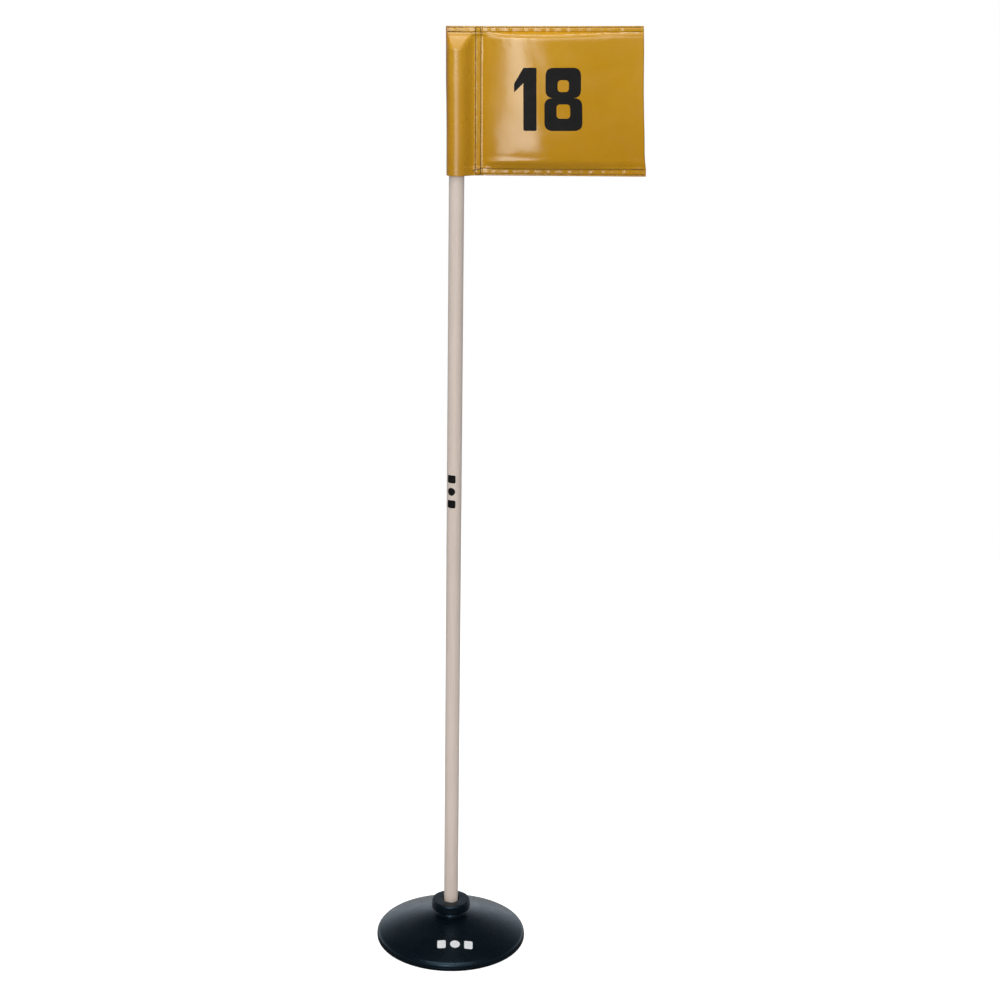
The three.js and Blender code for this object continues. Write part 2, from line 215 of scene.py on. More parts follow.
class Look:
    """A material built from a Principled BSDF, with textures in the object's own coordinates."""

    def __init__(self, name, **sockets):
        self.material = bpy.data.materials.new(name)
        self.material.use_nodes = True
        self.nodes = self.material.node_tree.nodes
        self.links = self.material.node_tree.links
        self.shader = self.nodes["Principled BSDF"]
        for socket, value in sockets.items():
            self.shader.inputs[socket.replace("_", " ")].default_value = value
        self.place = self.nodes.new("ShaderNodeTexCoord").outputs["Object"]
        self.height = None

    def stretched(self, x, y, z):
        """Object coordinates scaled along each axis."""
        node = self.nodes.new("ShaderNodeMapping")
        node.inputs["Scale"].default_value = (x, y, z)
        self.links.new(self.place, node.inputs["Vector"])
        return node.outputs["Vector"]

    def along(self, axis, start, end):
        """0 at one place on the axis and 1 at the other, both in metres."""
        node = self.nodes.new("ShaderNodeSeparateXYZ")
        self.links.new(self.place, node.inputs[0])
        return self.remap(node.outputs[axis], start, end)

    def noise(self, scale, detail=4.0, roughness=0.55, vector=None):
        """Soft noise, with about that many waves to the metre."""
        node = self.nodes.new("ShaderNodeTexNoise")
        node.inputs["Scale"].default_value = scale
        node.inputs["Detail"].default_value = detail
        node.inputs["Roughness"].default_value = roughness
        self.links.new(vector or self.place, node.inputs["Vector"])
        return node.outputs["Fac"]

    def wave(self, direction, pitch, distortion=0.0, vector=None):
        """Sine bands with that pitch in metres."""
        node = self.nodes.new("ShaderNodeTexWave")
        node.bands_direction = direction
        node.inputs["Scale"].default_value = 2 * math.pi / (20.0 * pitch)
        node.inputs["Distortion"].default_value = distortion
        self.links.new(vector or self.place, node.inputs["Vector"])
        return node.outputs["Fac"]

    def spots(self, scale):
        """Cells with a dot in the middle of each."""
        node = self.nodes.new("ShaderNodeTexVoronoi")
        node.inputs["Scale"].default_value = scale
        self.links.new(self.place, node.inputs["Vector"])
        return node.outputs["Distance"]

    def remap(self, value, low, high, to_low=0.0, to_high=1.0):
        """low becomes to_low and high becomes to_high, with no value outside the two."""
        node = self.nodes.new("ShaderNodeMapRange")
        ends = {"From Min": low, "From Max": high, "To Min": to_low, "To Max": to_high}
        for socket, number in ends.items():
            node.inputs[socket].default_value = number
        self.links.new(value, node.inputs["Value"])
        return node.outputs["Result"]

    def maths(self, operation, a, b):
        """Two values joined by a node's operation; either may be a plain number."""
        node = self.nodes.new("ShaderNodeMath")
        node.operation = operation
        for socket, value in zip(node.inputs, (a, b)):
            if isinstance(value, (int, float)):
                socket.default_value = value
            else:
                self.links.new(value, socket)
        return node.outputs["Value"]

    def blend(self, share, a, b):
        """Colour a where share is 0, colour b where it is 1."""
        node = self.nodes.new("ShaderNodeMix")
        node.data_type = "RGBA"
        self.links.new(share, node.inputs["Factor"])
        for name, value in (("A", a), ("B", b)):
            socket = next(s for s in node.inputs if s.name == name and s.type == "RGBA")
            if isinstance(value, tuple):
                socket.default_value = (*value, 1.0)
            else:
                self.links.new(value, socket)
        return next(s for s in node.outputs if s.type == "RGBA")

    def colour(self, value):
        self.links.new(value, self.shader.inputs["Base Color"])

    def roughness(self, value):
        self.links.new(value, self.shader.inputs["Roughness"])

    def bump(self, height, distance, strength=1.0):
        """Adds relief of that depth in metres on top of what is there."""
        node = self.nodes.new("ShaderNodeBump")
        node.inputs["Distance"].default_value = distance
        node.inputs["Strength"].default_value = strength
        self.links.new(height, node.inputs["Height"])
        if self.height is not None:
            self.links.new(self.height, node.inputs["Normal"])
        self.height = node.outputs["Normal"]
        self.links.new(self.height, self.shader.inputs["Normal"])


def rubber_look():
    """Blue-black satin rubber with a faint bloom and dust-fine specks."""
    look = Look("satin_rubber", IOR=1.5, Specular_IOR_Level=0.35, Specular_Tint=(0.47, 0.77, 1.0, 1.0))
    bloom = look.remap(look.noise(38.0, 5.0), 0.35, 0.75)
    dark, pale = (0.0026, 0.0056, 0.0085), (0.0046, 0.0086, 0.0122)
    specks = look.remap(look.noise(2600.0, 2.0), 0.70, 0.80)
    look.colour(look.blend(specks, look.blend(bloom, dark, pale), (0.014, 0.019, 0.024)))
    look.roughness(look.remap(look.noise(90.0, 6.0), 0.3, 0.7, 0.25, 0.32))
    look.bump(look.noise(1500.0, 3.0), 0.00003)
    look.bump(look.noise(160.0, 2.0), 0.00006)
    return look.material


def pad_look():
    """Matt, pebbled rubber."""
    look = Look("pad_rubber")
    look.colour(look.blend(look.noise(120.0), (0.012, 0.012, 0.013), (0.022, 0.022, 0.024)))
    look.roughness(look.remap(look.noise(300.0), 0.3, 0.7, 0.75, 0.9))
    look.bump(look.spots(900.0), 0.00012)
    return look.material


def nylon_look():
    """Moulded nylon with a fine spark-eroded grain."""
    look = Look("black_nylon")
    look.colour(look.blend(look.noise(60.0), (0.007, 0.007, 0.008), (0.013, 0.013, 0.014)))
    look.roughness(look.remap(look.noise(220.0), 0.3, 0.7, 0.42, 0.55))
    look.bump(look.noise(1800.0, 2.0), 0.00002)
    return look.material


def steel_look(name, grain, tint):
    """Plain steel with fine lines from rolling or turning, in faint uneven patches."""
    look = Look(name, Metallic=1.0)
    patches = look.noise(35.0, 6.0)
    dull = tuple(0.82 * c for c in tint)
    look.colour(look.blend(look.remap(patches, 0.3, 0.7), dull, tint))
    lines = look.noise(grain, 3.0, vector=look.stretched(1.0, 0.03, 1.0))
    look.roughness(look.remap(lines, 0.25, 0.75, 0.28, 0.46))
    look.bump(lines, 0.00002)
    return look.material


def stick_look():
    """Satin paint over pultruded glass fibre: faint lengthwise fibres, soft mottling, handling marks, and
    painted light that makes it paler towards the foot.
    """
    look = Look("stick_paint", IOR=1.46, Specular_IOR_Level=0.3)
    fibres = look.noise(900.0, 4.0, vector=look.stretched(1.0, 1.0, 0.012))
    cloud = look.remap(look.noise(14.0, 4.0), 0.3, 0.7)
    # Painted light: the colour is paler at the stick's foot and darker towards its head, to even out how
    # the light falls along it.
    foot = look.blend(cloud, (0.845, 0.705, 0.605), (0.885, 0.742, 0.638))
    head = look.blend(cloud, (0.755, 0.635, 0.553), (0.800, 0.675, 0.588))
    base = look.blend(look.along("Z", 0.0, 0.8), foot, head)
    streaked = look.blend(look.remap(fibres, 0.35, 0.85, 0.0, 0.55), base, (0.620, 0.520, 0.447))
    scuffs = look.remap(look.noise(420.0, 6.0, vector=look.stretched(1.0, 1.0, 0.12)), 0.69, 0.80, 0.0, 0.5)
    look.colour(look.blend(scuffs, streaked, (0.40, 0.34, 0.30)))
    look.roughness(look.remap(look.noise(70.0, 5.0), 0.3, 0.7, 0.34, 0.46))
    look.bump(fibres, 0.00005)
    look.bump(look.noise(700.0, 2.0), 0.00002)
    return look.material


def vinyl_look():
    """Glossy coated cloth whose threads show faintly. Painted light makes the sheet paler towards the top,
    and painted shade darkens the sleeve's folded edge.
    """
    look = Look("ochre_vinyl", IOR=1.5, Specular_IOR_Level=0.62)
    cloud = look.remap(look.noise(16.0, 4.0), 0.3, 0.7)
    # Painted light: the sheet's colour is paler towards the top and darker towards the bottom, where less
    # light falls.
    top_light_share = look.along("Z", FLAG_BOTTOM * MM, FLAG_TOP * MM)
    shaded_low_colour = look.blend(cloud, (0.520, 0.246, 0.0045), (0.562, 0.270, 0.0070))
    lit_high_colour = look.blend(cloud, (0.605, 0.303, 0.0060), (0.652, 0.336, 0.0090))
    sheet = look.blend(top_light_share, shaded_low_colour, lit_high_colour)
    # Painted shade: a dark red-brown band along the sleeve's folded edge, stronger higher up.
    fold = look.along("X", (FOLD_X + 3.0) * MM, (FOLD_X - 0.5) * MM)
    upper = look.along("Z", (FLAG_BOTTOM + 15.0) * MM, (FLAG_BOTTOM + 60.0) * MM)
    fold_painted_shade = look.maths("MULTIPLY", fold, look.remap(upper, 0.0, 1.0, 0.15, 0.62))
    base = look.blend(fold_painted_shade, sheet, (0.290, 0.085, 0.010))
    scrim = look.maths("MULTIPLY", look.wave("X", 0.0011), look.wave("Z", 0.0011))
    look.colour(look.blend(look.remap(scrim, 0.0, 1.0, 0.0, 0.10), base, (0.45, 0.195, 0.004)))
    smears = look.noise(55.0, 6.0)
    gloss = look.remap(smears, 0.3, 0.75, 0.13, 0.22)
    rubbed = look.along("X", (SLEEVE_END_X - 4.0) * MM, (SLEEVE_END_X - 10.0) * MM)
    look.roughness(look.maths("ADD", gloss, look.maths("MULTIPLY", rubbed, 0.12)))
    look.bump(scrim, 0.000012)
    look.bump(look.noise(60.0, 3.0), 0.00018)
    return look.material


def thread_look():
    """Twisted polyester sewing thread."""
    look = Look("brown_thread")
    twist = look.wave("DIAGONAL", 0.0005)
    look.colour(look.blend(twist, (0.020, 0.011, 0.004), (0.052, 0.028, 0.010)))
    look.roughness(look.remap(look.noise(800.0), 0.3, 0.7, 0.5, 0.7))
    look.bump(twist, 0.00006)
    return look.material


def ink_look(name, dark, light):
    """Screen ink, a touch uneven, with pinholes."""
    look = Look(name, Specular_IOR_Level=0.12)
    look.colour(look.blend(look.remap(look.noise(500.0, 5.0), 0.35, 0.8), dark, light))
    look.roughness(look.remap(look.noise(130.0), 0.3, 0.7, 0.45, 0.6))
    look.bump(look.noise(900.0, 3.0), 0.00002)
    return look.material


RUBBER = rubber_look()
PAD = pad_look()
NYLON = nylon_look()
PLATE_STEEL = steel_look("plate_steel", 600.0, (0.46, 0.47, 0.48))
SCREW_STEEL = steel_look("screw_steel", 1400.0, (0.62, 0.63, 0.66))
STICK_PAINT = stick_look()
VINYL = vinyl_look()
THREAD = thread_look()
BLACK_INK = ink_look("black_ink", (0.006, 0.006, 0.006), (0.011, 0.010, 0.009))
WHITE_INK = ink_look("white_ink", (0.92, 0.93, 0.94), (0.95, 0.96, 0.97))


# -------------------- base

RIM_ROUND = 5.6  # the rim's upper round, and the height of its centre
RIM_ROUND_Z = 5.0
RIM_LOWER_ROUND = 2.5
PARTING_Z = 3.9  # the mould's parting line: a fine ridge round the rim
PARTING_HALF, PARTING_RELIEF = 0.3, 0.12
SLOPE_AT_RIM = math.radians(24.0)
SLOPE_AT_NECK = math.radians(13.0)
BEAD_R, BEAD_Z, BEAD_ROUND = 12.5, 31.0, 5.5  # centre and round of the bead at the neck's foot
BEAD_START, BEAD_END = -12, 64  # degrees
NECK_R = 14.7
NECK_CHAMFER = 0.8
BORE_R = 11.3
COLLAR_HOLE_R = 9.5
COLLAR_FOOT_ROUND, COLLAR_TOP_ROUND, COLLAR_LIP = 1.8, 2.0, 0.9
COLLAR_CROWN = 0.05  # how far the collar's side stands out half-way up
FLANGE_R, FLANGE_TOP = 22.3, 12.4  # the recess that takes the socket's flange
PAD_CLEARANCE = 0.4  # height above the ground of the recess's inner lip


def dome_outline():
    """The dome's outer profile, from the rim's upper round to the neck's foot."""
    rim = arc(BASE_R - RIM_ROUND, RIM_ROUND_Z, RIM_ROUND, 0, 90 - math.degrees(SLOPE_AT_RIM), 14)
    foot = arc(BEAD_R, BEAD_Z, BEAD_ROUND, BEAD_START, BEAD_END, 20)
    run, rise = rim[-1][0] - foot[0][0], foot[0][1] - rim[-1][1]
    slopes = math.tan(SLOPE_AT_RIM), math.tan(SLOPE_AT_NECK)
    reach = (rise - run * slopes[1]) / (slopes[0] - slopes[1])
    handle = rim[-1][0] - reach, rim[-1][1] + reach * slopes[0]
    return rim, curve(rim[-1], handle, foot[0], 60), foot


def base_moulding():
    rim, slope, foot = dome_outline()
    flash = [
        (BASE_R, PARTING_Z - PARTING_HALF),
        (BASE_R + PARTING_RELIEF, PARTING_Z),
        (BASE_R, PARTING_Z + PARTING_HALF),
    ]
    outside = [(PAD_HIGH[0] + 0.7, 0.0)]
    outside += arc(BASE_R - RIM_LOWER_ROUND, RIM_LOWER_ROUND, RIM_LOWER_ROUND, -90, 0, 8)
    outside += flash + rim + slope + foot[1:]
    outside += [(NECK_R, foot[-1][1] + 0.5), (NECK_R, NECK_TOP - NECK_CHAMFER)]
    outside += [(NECK_R - NECK_CHAMFER, NECK_TOP)]
    inside = [
        (BORE_R, NECK_TOP),
        (BORE_R, FLANGE_TOP),
        (FLANGE_R, FLANGE_TOP),
        (FLANGE_R, PLATE_HIGH[2] + GAP),
        (PLATE_HIGH[0] + GAP, PLATE_HIGH[2] + GAP),
        (PLATE_HIGH[0] + GAP, PLATE_LOW[2]),
        (PAD_HIGH[0] + GAP, PLATE_LOW[2]),
        (PAD_HIGH[0] + GAP, PAD_CLEARANCE),
    ]
    verts, faces = revolve(outside + inside, 256)
    return add_mesh("base_moulding", verts, faces, RUBBER, "base", ["base_dome"])


def collar_ring():
    low, high, outer = COLLAR_LOW[2], COLLAR_HIGH[2], COLLAR_HIGH[0]
    foot, top, lip = COLLAR_FOOT_ROUND, COLLAR_TOP_ROUND, COLLAR_LIP
    profile = [(NECK_R + GAP, low)]
    profile += arc(outer - foot, low + foot, foot, -90, 0, 10)
    profile += [(outer + COLLAR_CROWN, mix(low, high, 0.5))]
    profile += arc(outer - top, high - top, top, 0, 90, 12)
    profile += arc(COLLAR_HOLE_R + lip, high - lip, lip, 90, 180, 8)
    profile += [(COLLAR_HOLE_R, NECK_TOP + GAP), (NECK_R + GAP, NECK_TOP + GAP)]
    verts, faces = revolve(profile, 192)
    return add_mesh("collar_ring", verts, faces, RUBBER, "base", ["grip_collar"])


def socket_cup():
    """The nylon cup that the stick stands in, with its flange and a rounded mouth."""
    outer, inner, floor = 11.0, 8.3, FOOT_LOW[2] - GAP
    low, top, rim = SOCKET_LOW[2], SOCKET_HIGH[2], SOCKET_HIGH[0]
    flange_low, flange_high = PLATE_HIGH[2] + GAP, PLATE_HIGH[2] + GAP + 2.5
    edge, mouth = 0.4, 1.0
    profile = [(0, low), (outer - 1, low), (outer, low + 1), (outer, flange_low)]
    profile += [(rim - edge, flange_low), (rim, flange_low + edge)]
    profile += [(rim, flange_high - edge), (rim - edge, flange_high), (outer, flange_high)]
    profile += [(outer, top - 0.3), (outer - 0.3, top)]
    profile += arc(inner + mouth, top - mouth, mouth, 90, 180, 6)
    profile += [(inner, floor), (0, floor)]
    verts, faces = revolve(profile, 96)
    return add_mesh("socket_cup", verts, faces, NYLON, "base", ["socket_tube"])


def ground_pad():
    """The pad under the base, with concentric grip grooves in its underside."""
    outer, top = PAD_HIGH[0], PAD_HIGH[2]
    pitch, depth, edge = 6.0, 0.7, 0.6
    profile = [(0, 0.0)]
    for r in np.arange(3 * pitch, outer - 4.0, pitch):
        profile += [(r - 0.9, 0.0), (r - 0.5, depth), (r + 0.5, depth), (r + 0.9, 0.0)]
    profile += arc(outer - edge, edge, edge, -90, 0, 5) + arc(outer - edge, top - edge, edge, 0, 90, 5)
    profile += [(0, top)]
    verts, faces = revolve(profile, 160)
    return add_mesh("ground_pad", verts, faces, PAD, "base", ["base_pad"], sharp=25)


def finish_cad_metal():
    """The plate and the screws keep their CAD shapes."""
    plain = {"ballast_plate": PLATE_STEEL}
    plain.update({f"ballast_screw_{i}": SCREW_STEEL for i in (1, 2, 3)})
    for node, material in plain.items():
        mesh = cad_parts[node].data
        mesh.materials.clear()
        mesh.materials.append(material)


# -------------------- stick

def stick_rod():
    inner, edge = STICK_R - STICK_WALL, 0.25
    low, high = STICK_LOW[2], STICK_HIGH[2]
    profile = [(inner, low), (STICK_R - edge, low), (STICK_R, low + edge)]
    profile += line((STICK_R, low + edge), (STICK_R, high - edge), 120)
    profile += [(STICK_R - edge, high), (inner, high)]
    verts, faces = revolve(profile, 96)
    return add_mesh("stick_rod", verts, faces, STICK_PAINT, "stick", ["stick_tube"])


def end_plugs():
    """The foot plug and the domed tip cap, each with a stem inside the stick."""
    stem = STICK_R - STICK_WALL - GAP
    head_top = STICK_LOW[2] - GAP
    low, high = FOOT_LOW[2], FOOT_HIGH[2]
    foot = [(0, low)] + arc(STICK_R - 0.8, low + 0.8, 0.8, -90, 0, 5)
    foot += [(STICK_R, head_top), (stem, head_top), (stem, high - 1), (stem - 1, high), (0, high)]
    verts, faces = revolve(foot, 96)
    add_mesh("foot_plug_moulded", verts, faces, NYLON, "foot", ["foot_plug"])

    low, high = TIP_LOW[2], TIP_HIGH[2]
    shoulder = STICK_HIGH[2] + GAP
    tip = [(0, low), (stem - 1, low), (stem, low + 1), (stem, shoulder)]
    for a in np.radians(np.linspace(0, 90, 16)):
        tip.append((STICK_R * math.cos(a), shoulder + (high - shoulder) * math.sin(a)))
    tip[-1] = (0, high)
    verts, faces = revolve(tip, 96)
    return add_mesh("tip_cap_moulded", verts, faces, NYLON, "tip", ["tip_cap"])


# -------------------- flag

SHEET = 0.45  # thickness of the vinyl
HEM = 7.0  # how far a hem is turned in
HEM_STEP = 0.5  # from one layer's middle to the next in a hem
SLEEVE_DEPTH = 9.75  # half of the open sleeve's thickness, to the middle of the vinyl
FOLD_MID_X = FOLD_X + SHEET / 2
PINCH_START, PINCH_END = FLAG_TOP - 22.5, FLAG_TOP - 6.5  # the sleeve flattens between these heights
RETURN_END_X = 25.6  # where the sleeve's back ends on the panel's back
PANEL_START_X = 16.8  # where the panel's back begins, inside the lap
RIDGE_X = 88.0, 76.0  # the front's highest line, at the flag's bottom and top
FRONT_BULGE, BACK_BULGE = 7.0, 4.0
FLY_GAP = 1.5
BULGE_HALF_HEIGHT = 70.0
BULGE_TOP_POWER, BULGE_FOOT_POWER = 34, 12  # the higher, the later and steeper the face falls back
FRONT_SEED, BACK_SEED = 1, 11  # of each face's ripples
ROLL_Z, ROLL_HALF, ROLL_HEIGHT = FLAG_BOTTOM + 14.5, 3.2, 0.66
SLEEVE_POWER = 2.2  # the sleeve's round end in plan: 2 is an ellipse, and more is squarer
STITCH_Z = {
    "top_edge": FLAG_TOP - 1.1,
    "top_hem": FLAG_TOP - 5.9,
    "bottom_hem": FLAG_BOTTOM + 7.2,
    "bottom_edge": FLAG_BOTTOM + 1.5,
}


def hem_share(z):
    """1 in the top and bottom hems, falling to 0 just inside them."""
    edge = np.minimum(z - FLAG_BOTTOM, FLAG_TOP - z)
    return 1.0 - smooth((edge - HEM - 0.4) / 2.6)


def pinch(z):
    """0 where the sleeve is open and 1 at its closed top."""
    t = np.clip((z - PINCH_START) / (PINCH_END - PINCH_START), 0.0, 1.0)
    return mix(t, t**1.5, 0.5)


def lap_offset(z):
    """Half of the lap's thickness where sleeve and panel are sewn together."""
    return mix(0.66, 1.36, hem_share(z))


def lap_tilt(x):
    """The lap's outer layer leans towards the fly edge, where it has fewer layers under it."""
    return 0.22 * np.interp(x, [13.0, SLEEVE_END_X, RETURN_END_X, 30.0], [0.0, 1.0, -1.0, 0.0])


def fly_x(z):
    return FLY_X - 0.4 + 0.25 * ripple(z, 90.0, 3)


def bulge(x, z, height, seed):
    """How far a face of the panel stands out between its seams and hems."""
    ridge = np.interp(z, (FLAG_BOTTOM, FLAG_TOP), RIDGE_X)
    rise = 1.0 - (1.0 - np.clip((x - RETURN_END_X) / (ridge - RETURN_END_X), 0, 1)) ** 2
    fall = 0.5 + 0.5 * np.cos(math.pi * np.clip((x - ridge) / (FLY_X - ridge), 0, 1))
    along = rise * mix(FLY_GAP / height, 1.0, fall)
    power = np.where(z > FLAG_MIDDLE, BULGE_TOP_POWER, BULGE_FOOT_POWER)
    up = 1.0 - np.abs((z - FLAG_MIDDLE) / BULGE_HALF_HEIGHT) ** power
    wavy = 0.22 * ripple(x + 0.3 * z, 46.0, seed) + 0.16 * ripple(z - 0.2 * x, 38.0, seed + 4)
    return np.maximum(up, 0.0) * along * (height + wavy)


def stitch_dents(x, z):
    """How far the stitching pulls the face in."""
    upright = 0.2 * sum(np.exp(-((x - row) / 0.7) ** 2) for row in (SEAM_X, SEAM_OUTER_X))
    top = sum(np.exp(-((z - STITCH_Z[row]) / 0.6) ** 2) for row in ("top_edge", "top_hem"))
    bottom = sum(np.exp(-((z - STITCH_Z[row]) / 0.6) ** 2) for row in ("bottom_edge", "bottom_hem"))
    return 0.2 * np.clip(upright + top + bottom * smooth((x - 14.0) / 3.0), 0.0, 1.0)


def puckers(x, z, seed):
    """Small pillows between the rows of stitching, and gathers that die away from them."""
    def strip(t, low, high):
        return np.exp(-(((t - (low + high) / 2) / (0.42 * (high - low))) ** 4))

    top = strip(z, STITCH_Z["top_hem"], STITCH_Z["top_edge"])
    bottom = strip(z, STITCH_Z["bottom_edge"], STITCH_Z["bottom_hem"]) * smooth((x - 18.0) / 4.0)
    lap = strip(x, SEAM_X, SEAM_OUTER_X)
    pillows = (top + bottom) * (0.14 + 0.14 * ripple(x, 11.0, seed))
    pillows = pillows + lap * (0.03 + 0.05 * ripple(z, 11.0, seed + 2))
    below = np.exp(-np.clip(STITCH_Z["top_hem"] - z, 0, None) / 5.0) * (z < STITCH_Z["top_hem"])
    above = np.exp(-np.clip(z - STITCH_Z["bottom_hem"], 0, None) / 5.0) * (z > STITCH_Z["bottom_hem"])
    return pillows + (below + above) * 0.20 * ripple(x, 13.0, seed + 5) * smooth((x - 20.0) / 8.0)


def lower_roll(x, z):
    """The roll that the vinyl makes just above the bottom hem, strongest near the sleeve."""
    strength = smooth((x - 27.0) / 8.0) * mix(0.35, 1.0, 1.0 - smooth((x - 70.0) / 45.0))
    return strength * ROLL_HEIGHT * np.exp(-(((z - ROLL_Z) / ROLL_HALF) ** 2))


def panel_depth(x, z, height, seed):
    """From the flag's middle plane to the middle of one face, right of the sleeve."""
    hem = hem_share(z)
    face = mix(0.45, 0.80, hem) + bulge(x, z, height, seed) + lower_roll(x, z)
    crease = 0.6 + 2.4 * np.exp(-(((z - FLAG_TOP + 25.0) / 9.0) ** 2))
    face = mix(face, lap_offset(z), 1.0 - smooth((x - RETURN_END_X - 0.4) / crease))
    return face - stitch_dents(x, z) + puckers(x, z, seed)


def sleeve_shape(z):
    """Depth, left corner's centre and width, and right end of the sleeve's flat stretch, at height z."""
    closed = pinch(z)
    depth = mix(SLEEVE_DEPTH + 0.12 * ripple(z, 60.0, 7), lap_offset(z), closed)
    corner = mix(-FOLD_MID_X, 1.3, closed)
    return depth, FOLD_MID_X + corner, corner, mix(0.0, 14.0, closed)


def sleeve_depth(x, z, seed):
    """The same as panel_depth(), left of the seam."""
    depth, left, corner, right = sleeve_shape(z)
    inwards = np.clip(1.0 - np.abs((x - left) / corner) ** SLEEVE_POWER, 0.0, 1.0)
    round_end = depth * inwards ** (1 / SLEEVE_POWER)
    t = np.clip((x - right) / (SLEEVE_END_X - right), 0.0, 1.0)
    bell = lap_offset(z) + (depth - lap_offset(z)) * (0.5 + 0.5 * np.cos(math.pi * t**1.3))
    closed = pinch(z)
    detail = (puckers(x, z, seed) - stitch_dents(x, z)) * np.maximum(closed, smooth((x - 15.0) / 2.0))
    return np.where(x < left, round_end, bell) + detail * smooth((x - left + corner) / 2.0)


def face_depth(x, z, front):
    """Distance of the front or back face's middle from the flag's middle plane."""
    height, seed = (FRONT_BULGE, FRONT_SEED) if front else (BACK_BULGE, BACK_SEED)
    x, z = np.broadcast_arrays(np.asarray(x, float), np.asarray(z, float))
    depth = np.where(x < SLEEVE_END_X, sleeve_depth(x, z, seed), panel_depth(x, z, height, seed))
    return depth + lap_tilt(x) if front else depth


# How far the sleeve's fold and the fly edge hang to the right, at shares of the flag's height
FOLD_HANG = [0.0, 0.3, 0.5, 0.65, 1.0], [-0.15, -0.3, -0.7, -1.25, -1.65]
FLY_HANG = [0.0, 0.05, 0.10, 0.16, 0.3, 0.57, 0.84, 1.0], [4.2, 4.0, 2.8, 1.9, 1.0, -1.1, -2.2, -3.2]


def hang(x, y, z):
    """Moves points of the flag to where they hang: the sheet isn't quite square and the fly edge flares."""
    up = (z - FLAG_BOTTOM) / (FLAG_TOP - FLAG_BOTTOM)
    fold = np.interp(up, *FOLD_HANG)
    seam = mix(0.3, -0.85, up)
    fly = np.interp(up, *FLY_HANG)
    along = (x - FOLD_X) / (SEAM_X - FOLD_X)
    across = (x - SEAM_X) / (FLY_X - SEAM_X)
    sideways = np.where(x < SEAM_X, mix(fold, seam, along), mix(seam, fly, across))
    upwards = mix(0.45, np.interp(x, [SEAM_X, 105.0, FLY_X], [-0.8, -0.25, 0.6]), up)
    return np.stack(np.broadcast_arrays(x + sideways, y, z + upwards), axis=-1)


def spaced(start, end, step, fine_at=(), fine_step=0.35, reach=1.8):
    """Values from start to end, closer together near fine_at."""
    values, here = [start], start
    while here < end - 1e-6:
        near = any(abs(here - f) < reach for f in fine_at)
        here = min(end, here + (fine_step if near else step))
        values.append(here)
    if values[-1] - values[-2] < 0.3 * fine_step:
        values.pop(-2)
    return np.array(values)


def flag_section(z):
    """The vinyl's path in plan at height z, as x and y: panel's back, fly fold, front, sleeve, lap."""
    fly = fly_x(z)
    stretch = (fly - RETURN_END_X) / (FLY_X - RETURN_END_X)

    def hung(x):
        return np.where(x > RETURN_END_X, RETURN_END_X + (x - RETURN_END_X) * stretch, x)

    back_x = hung(spaced(PANEL_START_X, FLY_X - FLY_GAP, 1.8, (RETURN_END_X,), 0.5, 3.0))
    inside_lap = 1.0 - smooth((back_x - RETURN_END_X - 0.4) / 2.2)
    open_y = panel_depth(back_x, z, BACK_BULGE, BACK_SEED)
    back_y = mix(open_y, mix(0.0, 0.30, hem_share(z)), inside_lap)

    front_x = hung(spaced(SLEEVE_END_X, FLY_X - FLY_GAP, 1.1, (SEAM_OUTER_X,), 0.3, 3.4))[::-1]
    front_y = -face_depth(front_x, z, True)

    turn = np.radians(np.linspace(90, -90, 11))[1:-1]
    end_x = max(back_x[-1], front_x[0])
    middle, half = (back_y[-1] + front_y[0]) / 2, (back_y[-1] - front_y[0]) / 2
    fold_x = end_x + (fly - end_x) * np.cos(turn)
    fold_y = middle + half * np.sin(turn)

    depth, left, corner, _ = sleeve_shape(z)
    shares = np.concatenate([np.linspace(0, 0.8, 20)[:-1], np.linspace(0.8, 1, 14)])
    bell_x = mix(left, SLEEVE_END_X, shares)
    angles = np.radians(np.linspace(90, -90, 31))[1:-1]
    corner_x = left - corner * np.cos(angles) ** (2 / SLEEVE_POWER)
    corner_y = depth * np.sign(angles) * np.abs(np.sin(angles)) ** (2 / SLEEVE_POWER)
    sleeve_x = np.concatenate([bell_x[::-1][1:], corner_x, bell_x[:-1]])
    front_half = -face_depth(bell_x[::-1][1:], z, True)
    back_half = face_depth(bell_x[:-1], z, False)
    sleeve_y = np.concatenate([front_half, -corner_y, back_half])

    lap_x = spaced(SLEEVE_END_X, RETURN_END_X, 0.8, (SEAM_X, SEAM_OUTER_X), 0.3, 1.5)
    lap_y = lap_offset(z) - stitch_dents(lap_x, z) + puckers(lap_x, z, BACK_SEED)

    x = np.concatenate([back_x, fold_x, front_x, sleeve_x, lap_x])
    y = np.concatenate([back_y, fold_y, front_y, sleeve_y, lap_y])
    return x, y


def hem_rows():
    """(height, inset) down the turned-in bottom hem, round its fold, up the face and over the top hem."""
    turn = HEM_STEP / 2
    rows = [(z, HEM_STEP) for z in np.linspace(FLAG_BOTTOM + HEM, FLAG_BOTTOM + 1.0, 5)]
    rows += [
        (FLAG_BOTTOM + turn - turn * math.cos(a), turn + turn * math.sin(a))
        for a in np.radians(np.linspace(90, -90, 9))
    ]
    fine = (*STITCH_Z.values(), FLAG_TOP - 10.0)
    face = spaced(FLAG_BOTTOM + 1.0, FLAG_TOP - 1.0, 1.2, fine, 0.4, 3.2)
    rows += [(z, 0.0) for z in face]
    rows += [
        (FLAG_TOP - turn + turn * math.cos(a), turn + turn * math.sin(a))
        for a in np.radians(np.linspace(-90, 90, 9))
    ]
    rows += [(z, HEM_STEP) for z in np.linspace(FLAG_TOP - 1.0, FLAG_TOP - HEM, 5)]
    return rows


